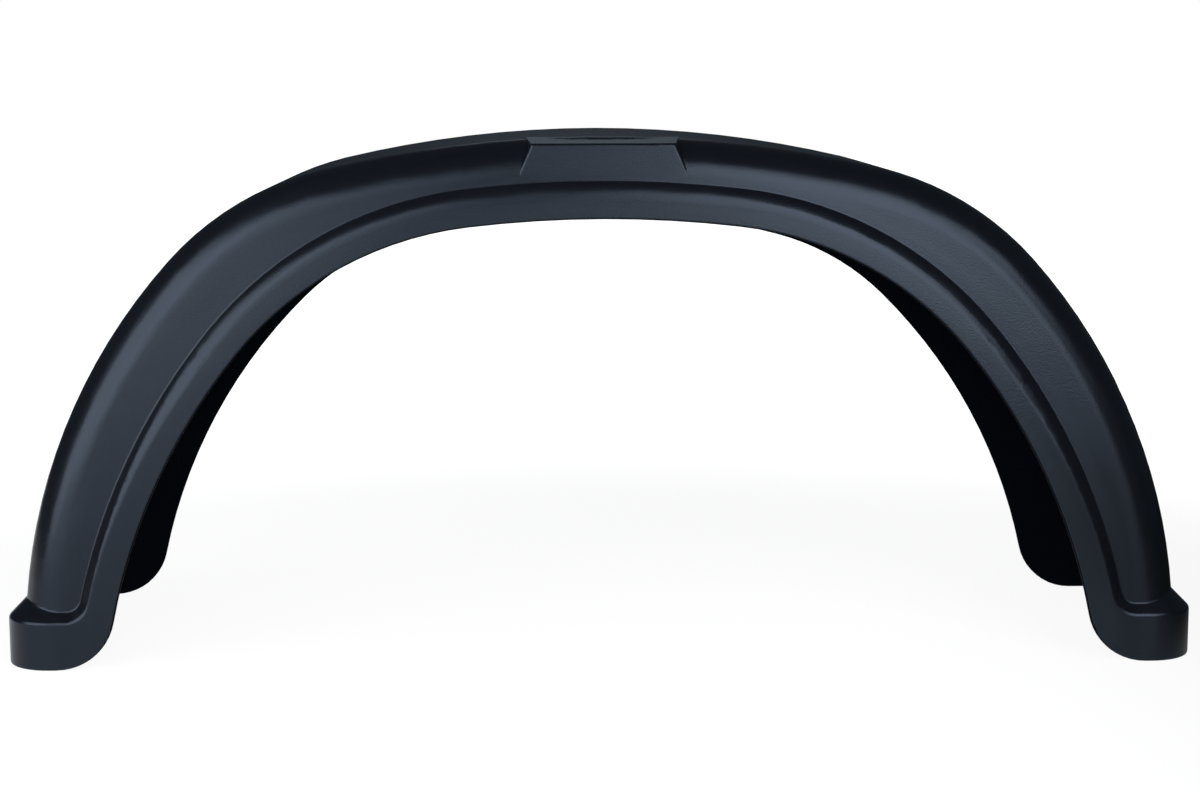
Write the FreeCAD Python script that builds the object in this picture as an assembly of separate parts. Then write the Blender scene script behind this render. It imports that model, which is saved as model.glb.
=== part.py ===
"""Trailer mudguard: one moulded plastic shell that arches over a single wheel.

Millimetres, +Z up, X along the trailer. The outer side with the raised rim faces -Y, and the flat
wall that is bolted to the trailer faces +Y. The part stands on its two feet at Z = 0.
"""
import math
import os

import FreeCAD
import Part

# Overall sizes
LENGTH = 770.0
WIDTH = 220.0
HEIGHT = 338.0
WALL = 3.5

# Crown: three tangent arcs on each side, from the top over the bend to the leg
CROWN_TOP_RADIUS = 778.0
CROWN_BEND_RADIUS = 194.0
CROWN_LEG_RADIUS = 375.0
CROWN_FOOT_LEAN = 86.2
SHOULDER = 25.0
INNER_BEVEL = 1.2

# Wheel opening in the outer wall: three tangent arcs on each side and a rounded toe on the foot
OPENING_HEIGHT = 287.0
OPENING_TOP_RADIUS = 733.0
OPENING_BEND_RADIUS = 223.0
OPENING_LEG_RADIUS = 395.0
OPENING_FOOT_LEAN = 78.4
TOE_RADIUS = 38.0
FOOT_FLAT = 34.4

# Wheel opening in the inner wall, a little smaller, with the same toes
INNER_OPENING_HEIGHT = 279.0
INNER_TOP_RADIUS = 508.0
INNER_BEND_RADIUS = 176.0
INNER_LEG_RADIUS = 376.0
INNER_FOOT_LEAN = 77.5

# Raised rim along the opening, and the feet that it runs into
RIM_WIDTH = 23.8
RIM_STEP = 6.0
RIM_BEVEL = 13.0
RIM_ROUNDING = 15.0
FOOT_ROUNDING = 3.5
RIM_CORNER = 3.0
RIM_CREASE = 2.0
FOOT_WALL = 31.0
FOOT_STEP = 10.8
FOOT_CORNER = 30.0
LIP_ROUNDING = 1.6

# Flat pad on the shoulder at the top
PAD_LENGTH = 90.0
PAD_FLARE = 24.0
PAD_SPREAD = 12.0
PAD_DROP = 4.2
PAD_LEDGE_SLOPE = 8.0
PAD_LEAN = 0.3
PAD_ROUNDING = 2.2

# Plan positions that follow from the sizes
OUTER_FACE = -WIDTH / 2.0
BODY_FACE = OUTER_FACE + RIM_STEP
INNER_FACE = WIDTH / 2.0
FOOT_TOP = FOOT_WALL + RIM_BEVEL
FLOOR = -20.0

# The two openings: height, arc radii from the top to the leg, and lean at the foot
OUTER_RADII = (OPENING_TOP_RADIUS, OPENING_BEND_RADIUS, OPENING_LEG_RADIUS)
INNER_RADII = (INNER_TOP_RADIUS, INNER_BEND_RADIUS, INNER_LEG_RADIUS)
OUTER_OPENING = (OPENING_HEIGHT, OUTER_RADII, OPENING_FOOT_LEAN)
INNER_OPENING = (INNER_OPENING_HEIGHT, INNER_RADII, INNER_FOOT_LEAN)


def polar(centre, radius, angle):
    """Point at an angle from straight up, turning towards +X, on a circle in the XZ plane."""
    return (centre[0] + radius * math.sin(angle), centre[1] + radius * math.cos(angle))


def arch(apex, end_x, end_z, radii, lean):
    """Three tangent arcs from the apex to a foot: (centre, radius, start, end) for the +X half."""
    top, bend, leg = radii
    last = math.radians(lean)
    # The three arc centres make a triangle with two known sides and a known third corner
    side_a = top - bend
    side_b = leg - bend
    reach_x = end_x - leg * math.sin(last)
    reach_z = top - (apex - end_z) - leg * math.cos(last)
    reach = math.hypot(reach_x, reach_z)
    swing = math.acos((side_a ** 2 + reach ** 2 - side_b ** 2) / (2.0 * side_a * reach))
    first = math.atan2(reach_x, reach_z) + swing
    second = math.atan2(side_a * math.sin(first) - reach_x, side_a * math.cos(first) - reach_z)
    centre_top = (0.0, apex - top)
    centre_bend = polar(centre_top, side_a, first)
    centre_leg = polar(centre_bend, -side_b, second)
    return [
        (centre_top, top, 0.0, first),
        (centre_bend, bend, first, second),
        (centre_leg, leg, second, last),
    ]


def grown(arcs, distance):
    """The same arch moved outwards by a distance, or inwards where it is negative."""
    return [(centre, radius + distance, start, end) for centre, radius, start, end in arcs]


def stopped_at(arcs, z):
    """The same arch with its leg ended at a height."""
    centre, radius, start, _ = arcs[-1]
    return arcs[:-1] + [(centre, radius, start, math.acos((z - centre[1]) / radius))]


def under(arcs, tail, y0, y1):
    """Solid under a symmetric arch, between two Y planes. The tail leads from its foot to mid bottom."""
    edges = []

    def at(point, side):
        return FreeCAD.Vector(side * point[0], y0, point[1])

    centre, radius, _, end = arcs[0]
    crown_end = polar(centre, radius, end)
    crown_top = polar(centre, radius, 0.0)
    edges.append(Part.Arc(at(crown_end, -1), at(crown_top, 1), at(crown_end, 1)).toShape())
    for side in (-1, 1):
        for centre, radius, start, end in arcs[1:]:
            points = [at(polar(centre, radius, a), side) for a in (start, (start + end) / 2.0, end)]
            edges.append(Part.Arc(*points).toShape())
        last = polar(*arcs[-1][:2], arcs[-1][3])
        for corner in tail:
            edges.append(Part.LineSegment(at(last, side), at(corner, side)).toShape())
            last = corner
    edges.append(Part.LineSegment(at(last, -1), at(last, 1)).toShape())
    wire = Part.Wire(Part.__sortEdges__(edges))
    return Part.Face(wire).extrude(FreeCAD.Vector(0, y1 - y0, 0))


def edges_where(shape, test):
    """Edges of a shape whose middle point passes a test."""
    picked = []
    for edge in shape.Edges:
        middle = edge.valueAt((edge.FirstParameter + edge.LastParameter) / 2.0)
        if test(middle):
            picked.append(edge)
    return picked


def is_sharp(shape, edge):
    """Whether the two faces at an edge meet at an angle there."""
    point = edge.valueAt((edge.FirstParameter + edge.LastParameter) / 2.0)
    normals = []
    for face in shape.ancestorsOfType(edge, Part.Face):
        normals.append(face.normalAt(*face.Surface.parameter(point)))
    return len(normals) == 2 and math.degrees(normals[0].getAngle(normals[1])) > 5.0


def crown_arcs():
    radii = (CROWN_TOP_RADIUS, CROWN_BEND_RADIUS, CROWN_LEG_RADIUS)
    return arch(HEIGHT, LENGTH / 2.0 - FOOT_STEP, FOOT_WALL, radii, CROWN_FOOT_LEAN)


def opening_arcs(opening):
    """Edge of a wheel opening down to the start of the rounded toe."""
    height, radii, lean = opening
    turn = math.radians(lean)
    toe_x = LENGTH / 2.0 - FOOT_FLAT - TOE_RADIUS * math.sin(turn)
    toe_z = TOE_RADIUS * (1.0 - math.cos(turn))
    return arch(height, toe_x, toe_z, radii, lean)


def body(inset):
    """Plain arched body behind the rim, with its rounded outer shoulder."""
    arcs = grown(crown_arcs(), -inset)
    foot = polar(*arcs[-1][:2], arcs[-1][3])
    bottom_x = foot[0] + (foot[1] - FLOOR) / math.tan(math.radians(CROWN_FOOT_LEAN))
    face = BODY_FACE + inset
    solid = under(arcs, [(bottom_x, FLOOR)], face, INNER_FACE - inset)
    shoulder = edges_where(solid, lambda m: abs(m.y - face) < 0.01 and m.z > FLOOR + 0.01)
    return solid.makeFillet(SHOULDER - inset, shoulder)


def rim_and_feet(inset):
    """Rim along the opening that runs into the feet, with one bevelled and rounded edge."""
    top = FOOT_TOP - inset
    end = LENGTH / 2.0 - inset
    face = OUTER_FACE + inset
    outline = grown(opening_arcs(OUTER_OPENING), RIM_WIDTH + RIM_BEVEL - RIM_STEP - inset)
    tail = [(end, top), (end, FLOOR)]
    solid = under(stopped_at(outline, top), tail, face, INNER_FACE - inset)
    corner = edges_where(solid, lambda m: abs(m.y) < WIDTH / 4.0 and abs(m.z - top) < 0.01
                         and abs(m.x) < end - 1.0)
    solid = solid.makeFillet(RIM_CORNER + inset, corner)
    upright = edges_where(solid, lambda m: abs(m.y - face) < 0.01 and abs(abs(m.x) - end) < 0.01)
    solid = solid.makeFillet(FOOT_CORNER - inset, upright)

    def front(m):
        return abs(m.y - face) < 0.01 and m.z > FLOOR + 0.01

    # A bevel that is set back by the wall is a little shorter than the outer one
    solid = solid.makeChamfer(RIM_BEVEL - inset * (2.0 - math.sqrt(2.0)), edges_where(solid, front))
    if inset > 0.0:
        return solid
    return rounded_ridge(solid, front)


def rounded_ridge(solid, front):
    """The solid with its front ridge rounded: crisp on the feet, and softer up the legs and over the top."""
    radii = []
    for number, edge in enumerate(solid.Edges, 1):
        middle = edge.valueAt((edge.FirstParameter + edge.LastParameter) / 2.0)
        if not front(middle):
            continue
        ends = [edge.valueAt(edge.FirstParameter), edge.valueAt(edge.LastParameter)]
        sizes = [FOOT_ROUNDING if point.z < FOOT_TOP + 5.0 else RIM_ROUNDING for point in ends]
        radii.append((number, *sizes))
    document = FreeCAD.newDocument()
    plain = document.addObject("Part::Feature", "plain")
    plain.Shape = solid
    rounded = document.addObject("Part::Fillet", "rounded")
    rounded.Base = plain
    rounded.Edges = radii
    document.recompute()
    shape = rounded.Shape.copy()
    FreeCAD.closeDocument(document.Name)
    return shape


def pad(inset):
    """Flat pad that stands out of the rounded shoulder at the top and sinks into the body below."""
    face = BODY_FACE + inset
    back = BODY_FACE + SHOULDER
    top = HEIGHT - PAD_DROP - inset
    low = HEIGHT - SHOULDER
    rise = (back - face) * math.tan(math.radians(PAD_LEDGE_SLOPE))
    lean = (top - low) * math.tan(math.radians(PAD_LEAN))

    def corner(side, y, z):
        half = PAD_LENGTH / 2.0 - inset
        half += (top - z) * math.tan(math.radians(PAD_FLARE))
        half += (y - face) * math.tan(math.radians(PAD_SPREAD))
        return FreeCAD.Vector(side * half, y, z)

    wires = []
    for y_low, y_top, z in ((face + lean, face, top), (back, back, top + rise)):
        points = [corner(-1, y_low, low), corner(1, y_low, low), corner(1, y_top, z), corner(-1, y_top, z)]
        wires.append(Part.makePolygon(points + points[:1]))
    solid = Part.makeLoft(wires, True, True)
    if inset > 0.0:
        return solid
    rounded = edges_where(solid, lambda m: m.y < face + lean + 0.01 and m.z > low + 0.01)
    return solid.makeFillet(PAD_ROUNDING, rounded)


def outside():
    """Outside form, still solid, with its creases rounded and its inner edge bevelled."""
    solid = body(0.0).fuse(rim_and_feet(0.0)).removeSplitter()
    crease = [e for e in edges_where(solid, lambda m: m.z > FOOT_WALL and m.y < INNER_FACE - 0.01)
              if is_sharp(solid, e)]
    solid = solid.makeFillet(RIM_CREASE, crease)
    inner = [e for e in edges_where(solid, lambda m: abs(m.y - INNER_FACE) < 0.01 and m.z > FLOOR + 0.01)
             if is_sharp(solid, e)]
    solid = solid.makeChamfer(INNER_BEVEL, inner)
    return solid.fuse(pad(0.0)).removeSplitter()


def hollow():
    """Space inside the shell, one wall behind the outside form and open below."""
    return body(WALL).fuse([rim_and_feet(WALL), pad(WALL)])


def wheel_cut(opening, y0, y1):
    """Cut of the wheel opening in one side wall, with the rounded toes and the flat under the feet."""
    arcs = opening_arcs(opening)
    turn = arcs[-1][3]
    foot = polar(*arcs[-1][:2], turn)
    toe_centre = polar(foot, TOE_RADIUS, turn)
    toe = (toe_centre, -TOE_RADIUS, turn, 0.0)
    beyond = LENGTH / 2.0 - FLOOR
    return under(arcs + [toe], [(beyond, 0.0), (beyond, 2.0 * FLOOR)], y0, y1)


def mudguard():
    shell = outside().cut(hollow())
    shell = shell.cut(wheel_cut(OUTER_OPENING, OUTER_FACE + FLOOR, 0.0))
    shell = shell.cut(wheel_cut(INNER_OPENING, 0.0, INNER_FACE - FLOOR))
    shell = shell.removeSplitter()
    lip = edges_where(shell, lambda m: abs(m.y - OUTER_FACE) < 0.01 and abs(m.z - OPENING_HEIGHT) < 0.01)
    return shell.makeFillet(LIP_ROUNDING, lip)


os.makedirs("parts", exist_ok=True)
shape = mudguard()
shape.exportStep("parts/mudguard.step")
print("solids", len(shape.Solids), "valid", shape.isValid(), "volume cm3", round(shape.Volume / 1000.0, 1))
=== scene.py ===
"""Trailer mudguard: one black moulded shell on a plain white studio floor."""
import math

import bpy
from mathutils import Euler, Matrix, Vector

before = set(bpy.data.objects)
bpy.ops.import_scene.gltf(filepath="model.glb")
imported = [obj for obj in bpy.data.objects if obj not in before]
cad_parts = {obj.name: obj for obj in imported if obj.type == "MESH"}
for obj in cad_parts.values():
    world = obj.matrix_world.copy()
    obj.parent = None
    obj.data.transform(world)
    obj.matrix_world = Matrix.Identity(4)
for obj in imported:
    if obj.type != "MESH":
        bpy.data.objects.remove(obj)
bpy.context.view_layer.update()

# Mudguard, outer skin
# One injection-moulded shell of black polypropylene, about 3.5 mm thick, open below and towards the
# wheel. The mould's outer half is finely eroded, which leaves an even satin grain on the visible faces.
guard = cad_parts["mudguard"]
SHARP_ANGLE = math.radians(40.0)


def settle_normals(mesh, sharp_angle):
    """Corner normals that follow the larger faces, so that flats stay flat and roundings take the turn."""
    around = {}
    for polygon in mesh.polygons:
        polygon.use_smooth = True
        for number in polygon.vertices:
            around.setdefault(mesh.vertices[number].co.to_tuple(6), []).append(polygon)
    normals = []
    for polygon in mesh.polygons:
        for number in polygon.vertices:
            near = around[mesh.vertices[number].co.to_tuple(6)]
            alike = [p for p in near if p.normal.dot(polygon.normal) > math.cos(sharp_angle)]
            normals.append(sum((p.normal * p.area for p in alike), Vector()).normalized())
    mesh.normals_split_custom_set(normals)


settle_normals(guard.data, SHARP_ANGLE)


def add_node(tree, kind, inputs=None, **settings):
    """New shader node with its settings. Each of its inputs is a socket to link from, or a plain value."""
    node = tree.nodes.new("ShaderNode" + kind)
    for key, value in settings.items():
        setattr(node, key, value)
    for key, value in (inputs or {}).items():
        if isinstance(value, bpy.types.NodeSocket):
            tree.links.new(value, node.inputs[key])
        else:
            node.inputs[key].default_value = value
    return node


def calc(tree, operation, *values):
    """Result of one sum on sockets or plain numbers."""
    return add_node(tree, "Math", dict(enumerate(values)), operation=operation).outputs["Value"]


ARCH_HALF_SPAN = 0.340
ARCH_RISE = 0.313
FLOW_STRETCH = 0.12


def moulded_grain_group():
    """Surface of a moulded plastic face: eroded grain with pits, and flow waves that run along the arch."""
    tree = bpy.data.node_groups.new("moulded_grain", "ShaderNodeTree")
    for name, size in (("Grain Size", 0.0011), ("Wave Size", 0.012)):
        socket = tree.interface.new_socket(name, in_out="INPUT", socket_type="NodeSocketFloat")
        socket.default_value = size
    for name in ("Grain", "Pits", "Waves"):
        tree.interface.new_socket(name, in_out="OUTPUT", socket_type="NodeSocketFloat")
    given = tree.nodes.new("NodeGroupInput")
    place = add_node(tree, "TexCoord").outputs["Object"]

    per_grain = calc(tree, "DIVIDE", 1.0, given.outputs["Grain Size"])
    noise = add_node(tree, "TexNoise", {"Vector": place, "Scale": per_grain, "Detail": 3.0, "Roughness": 0.55})
    cells = add_node(tree, "TexVoronoi", {"Vector": place, "Scale": per_grain, "Smoothness": 0.6,
                                          "Randomness": 1.0}, feature="SMOOTH_F1")
    pits = add_node(tree, "MapRange", {"Value": cells.outputs["Distance"], "From Min": 0.15, "From Max": 0.65})
    grain = calc(tree, "MULTIPLY_ADD", pits.outputs["Result"], 0.5, noise.outputs["Fac"])

    # Place across the arch and along it: the plastic flowed along the arch, so the waves are long that way
    arched = add_node(tree, "VectorMath", {0: place, 1: (ARCH_HALF_SPAN, 1.0, ARCH_RISE)}, operation="DIVIDE")
    split = add_node(tree, "SeparateXYZ", {"Vector": arched.outputs["Vector"]})
    x, y, z = (split.outputs[axis] for axis in "XYZ")
    along = calc(tree, "MULTIPLY", calc(tree, "ARCTAN2", x, z), ARCH_RISE * FLOW_STRETCH)
    flat = add_node(tree, "CombineXYZ", {"X": x, "Z": z})
    reach = add_node(tree, "VectorMath", {0: flat.outputs["Vector"]}, operation="LENGTH")
    across = calc(tree, "MULTIPLY", reach.outputs["Value"], ARCH_RISE)
    flow = add_node(tree, "CombineXYZ", {"X": along, "Y": y, "Z": across})
    per_wave = calc(tree, "DIVIDE", 1.0, given.outputs["Wave Size"])
    waves = add_node(tree, "TexNoise", {"Vector": flow.outputs["Vector"], "Scale": per_wave, "Detail": 1.5,
                                        "Roughness": 0.4, "Distortion": 0.3})

    result = tree.nodes.new("NodeGroupOutput")
    tree.links.new(grain, result.inputs["Grain"])
    tree.links.new(pits.outputs["Result"], result.inputs["Pits"])
    tree.links.new(waves.outputs["Fac"], result.inputs["Waves"])
    return tree


moulded_grain = moulded_grain_group()
PIT_SHADE = (0.82, 0.82, 0.82, 1.0)


def moulded_plastic(name, tones, roughness, shine, tint, grain_size, grain_depth, wave_depth):
    """Moulded plastic whose tone and gloss change a little with the grain and over the surface."""
    material = bpy.data.materials.new(name)
    material.use_nodes = True
    tree = material.node_tree
    surface = add_node(tree, "Group", {"Grain Size": grain_size}, node_tree=moulded_grain)
    grain, pits, waves = (surface.outputs[output] for output in ("Grain", "Pits", "Waves"))
    tone = add_node(tree, "Mix", {"Factor": waves, "A": tones[0], "B": tones[1]}, data_type="RGBA")
    speckle = add_node(tree, "Mix", {"Factor": pits, "A": tone.outputs["Result"], "B": PIT_SHADE},
                       data_type="RGBA", blend_type="MULTIPLY")
    gloss = add_node(tree, "MapRange", {"Value": waves, "From Min": 0.3, "From Max": 0.7,
                                        "To Min": roughness[0], "To Max": roughness[1]})
    waved = add_node(tree, "Bump", {"Height": waves, "Distance": wave_depth})
    grained = add_node(tree, "Bump", {"Height": grain, "Distance": grain_depth,
                                      "Normal": waved.outputs["Normal"]})
    skin = tree.nodes["Principled BSDF"]
    skin.inputs["Specular IOR Level"].default_value = shine
    skin.inputs["Specular Tint"].default_value = tint
    tree.links.new(speckle.outputs["Result"], skin.inputs["Base Color"])
    tree.links.new(gloss.outputs["Result"], skin.inputs["Roughness"])
    tree.links.new(grained.outputs["Normal"], skin.inputs["Normal"])
    return material


satin = moulded_plastic(
    "satin_outer_plastic", tones=((0.0056, 0.0074, 0.0105, 1.0), (0.0078, 0.0100, 0.0138, 1.0)),
    roughness=(0.21, 0.27), shine=0.5, tint=(0.62, 0.77, 1.0, 1.0),
    grain_size=0.0011, grain_depth=0.00004, wave_depth=0.00009)
guard.data.materials.clear()
guard.data.materials.append(satin)

# Mudguard, inside
# The inside of the same shell, shaped by the mould's core. The core is left coarse, so the faces that look
# into the wheel channel are matt. Their tone is several times darker than the outer skin and they reflect
# almost nothing: painted shade for the shadow inside the channel.
matt = moulded_plastic(
    "matt_inner_plastic_painted_shade", tones=((0.0012, 0.0018, 0.0033, 1.0), (0.0019, 0.0027, 0.0047, 1.0)),
    roughness=(0.68, 0.8), shine=0.08, tint=(0.45, 0.65, 1.0, 1.0),
    grain_size=0.0016, grain_depth=0.0001, wave_depth=0.0002)
guard.data.materials.append(matt)
# Faces that look into the channel or at the wheel take the darker plastic, which paints the channel's shade.
for polygon in guard.data.polygons:
    # Nearest point on the middle line of the channel, an arch half way between crown and opening
    x, _, z = polygon.center
    turn = math.atan2(x / ARCH_HALF_SPAN, max(z, 0.0) / ARCH_RISE)
    middle = Vector((ARCH_HALF_SPAN * math.sin(turn), 0.0, ARCH_RISE * math.cos(turn)))
    faces_channel = polygon.normal.dot(polygon.center - middle) < 0.0
    faces_wheel = polygon.normal.dot(middle.normalized()) < -0.5
    if faces_channel or faces_wheel:
        polygon.material_index = 1

# Floor
# A plain white studio floor that the mudguard stands on. To the camera it is white everywhere, and a
# share of matt paper near the part takes its shadow. Beyond the sides of a sheet the paper is coloured near
# black: painted shade for a dark studio, seen in what the part reflects and in the light bounced onto it.
# On the sheet a share of the floor glows to reflected rays.
SHEET_LEFT = -1.4
SHEET_RIGHT = 0.54
SHEET_FADE = 0.35
SHEET_COLOUR = (0.82, 0.82, 0.82, 1.0)
PAINTED_SHADE_COLOUR = (0.04, 0.04, 0.04, 1.0)
WHITE_GLOW = 1.28
MIRRORED_SHARE = 0.36
NEAR_SHARE = 0.72
SHADOW_START = 0.45
SHADOW_END = 1.3
bpy.ops.mesh.primitive_plane_add(size=16.0, location=(0.0, 0.0, 0.0))
floor = bpy.context.object
floor.name = "studio_floor"


def smooth_step(tree, value, start, end, low=0.0, high=1.0):
    """Smooth change from the low value at the start to the high one at the end."""
    step = add_node(tree, "MapRange", {"Value": value, "From Min": start, "From Max": end,
                                       "To Min": low, "To Max": high}, interpolation_type="SMOOTHSTEP")
    return step.outputs["Result"]


paper = bpy.data.materials.new("white_paper")
paper.use_nodes = True
tree = paper.node_tree
place = add_node(tree, "TexCoord").outputs["Object"]
sideways = add_node(tree, "SeparateXYZ", {"Vector": place}).outputs["X"]
right_of_edge = smooth_step(tree, sideways, SHEET_LEFT, SHEET_LEFT + SHEET_FADE)
left_of_edge = smooth_step(tree, sideways, SHEET_RIGHT, SHEET_RIGHT - SHEET_FADE)
on_sheet = calc(tree, "MULTIPLY", right_of_edge, left_of_edge)
# Near-black paper beyond the sheet is painted shade; on the sheet the paper is pale.
colour = add_node(tree, "Mix", {"Factor": on_sheet, "A": PAINTED_SHADE_COLOUR, "B": SHEET_COLOUR}, data_type="RGBA")
sheet = tree.nodes["Principled BSDF"]
sheet.inputs["Roughness"].default_value = 0.9
sheet.inputs["Specular IOR Level"].default_value = 0.1
tree.links.new(colour.outputs["Result"], sheet.inputs["Base Color"])

ray = add_node(tree, "LightPath")
mirrored = calc(tree, "MAXIMUM", ray.outputs["Is Glossy Ray"], ray.outputs["Is Transmission Ray"])
mirrored_share = calc(tree, "MULTIPLY", calc(tree, "MULTIPLY", mirrored, on_sheet), MIRRORED_SHARE)
reach = add_node(tree, "VectorMath", {0: place}, operation="LENGTH").outputs["Value"]
direct_share = smooth_step(tree, reach, SHADOW_START, SHADOW_END, low=NEAR_SHARE)
seen = add_node(tree, "Mix", {"Factor": ray.outputs["Is Camera Ray"], "A": mirrored_share, "B": direct_share},
                data_type="FLOAT")
glow = add_node(tree, "Emission", {"Strength": WHITE_GLOW})
blend = add_node(tree, "MixShader", {"Fac": seen.outputs["Result"], 1: sheet.outputs["BSDF"],
                                     2: glow.outputs["Emission"]})
tree.links.new(blend.outputs["Shader"], tree.nodes["Material Output"].inputs["Surface"])
floor.data.materials.append(paper)

# Light
# Large soft walls of light in front and on the left, whose lower parts the floor hides. A small lamp
# stands on the right and a faint cool panel behind, in a dark studio that the camera sees as white.
STUDIO_DARK = (0.034, 0.042, 0.052, 1.0)
STUDIO_WHITE = (1.0, 1.0, 1.0, 1.0)
world = bpy.data.worlds.new("studio")
bpy.context.scene.world = world
world.use_nodes = True
tree = world.node_tree
ray = add_node(tree, "LightPath")
surround = add_node(tree, "Mix", {"Factor": ray.outputs["Is Camera Ray"], "A": STUDIO_DARK, "B": STUDIO_WHITE},
                    data_type="RGBA")
tree.links.new(surround.outputs["Result"], tree.nodes["Background"].inputs["Color"])
SOFT_EDGE = 0.35


def soft_box(name, place, target, size, brightness, colour=(1.0, 1.0, 1.0)):
    """Rectangular soft box that faces a point and fades towards its edges; brightness 1 looks white."""
    lamp = bpy.data.lights.new(name, "AREA")
    lamp.shape = "RECTANGLE"
    lamp.size, lamp.size_y = size
    lamp.energy = brightness * math.pi * size[0] * size[1]
    lamp.color = colour
    lamp.use_nodes = True
    tree = lamp.node_tree
    surface = add_node(tree, "NewGeometry")
    split = add_node(tree, "SeparateXYZ", {"Vector": surface.outputs["Parametric"]})
    fades = []
    for axis in "XY":
        off_middle = calc(tree, "ABSOLUTE", calc(tree, "SUBTRACT", split.outputs[axis], 0.5))
        fades.append(smooth_step(tree, off_middle, 0.5, 0.5 - SOFT_EDGE))
    tree.links.new(calc(tree, "MULTIPLY", *fades), tree.nodes["Emission"].inputs["Strength"])
    box = bpy.data.objects.new(name, lamp)
    box.location = place
    box.rotation_euler = (Vector(target) - Vector(place)).to_track_quat("-Z", "Y").to_euler()
    box.visible_camera = False
    bpy.context.collection.objects.link(box)


soft_box("left_wall", (-1.60, -1.28, 0.5), (-0.38, -0.1, 0.5), (2.3, 3.4), 2.7)
soft_box("front_wall_left", (-0.75, -1.8, 0.5), (-0.4, -0.1, 0.5), (1.4, 3.4), 1.9)
soft_box("front_wall_right", (0.62, -1.8, 0.9), (0.35, -0.1, 0.9), (1.4, 3.4), 3.3)
soft_box("right_lamp", (1.35, -1.55, 0.95), (0.3, -0.1, 0.25), (0.7, 1.1), 2.4)
soft_box("back_panel", (0.0, 2.4, 1.25), (0.0, 0.0, 0.34), (1.0, 0.7), 0.36, colour=(0.72, 0.86, 1.0))

# Camera
# A short telephoto lens, a little left of the middle and just above the crown. Its place, angles in
# degrees and focal length in pixels of a 1200 by 800 picture give the photograph's view.
CAMERA_PLACE = Vector((-0.0444, -1.543, 0.3827))
CAMERA_PITCH = 8.32
CAMERA_YAW = 1.67
CAMERA_ROLL = -0.09
FOCAL_PIXELS = 2293.0
PICTURE_PIXELS = 1200.0
SENSOR_WIDTH = 36.0
camera_data = bpy.data.cameras.new("camera")
camera_data.sensor_width = SENSOR_WIDTH
camera_data.lens = SENSOR_WIDTH * FOCAL_PIXELS / PICTURE_PIXELS
camera = bpy.data.objects.new("camera", camera_data)
bpy.context.collection.objects.link(camera)
camera.location = CAMERA_PLACE
turn = Euler((math.radians(90.0 - CAMERA_PITCH), 0.0, math.radians(-CAMERA_YAW)), "XYZ").to_matrix()
roll = Euler((0.0, 0.0, math.radians(CAMERA_ROLL)), "XYZ").to_matrix()
camera.rotation_euler = (turn @ roll).to_euler()
bpy.context.scene.camera = camera

bpy.context.scene.view_settings.view_transform = "Standard"
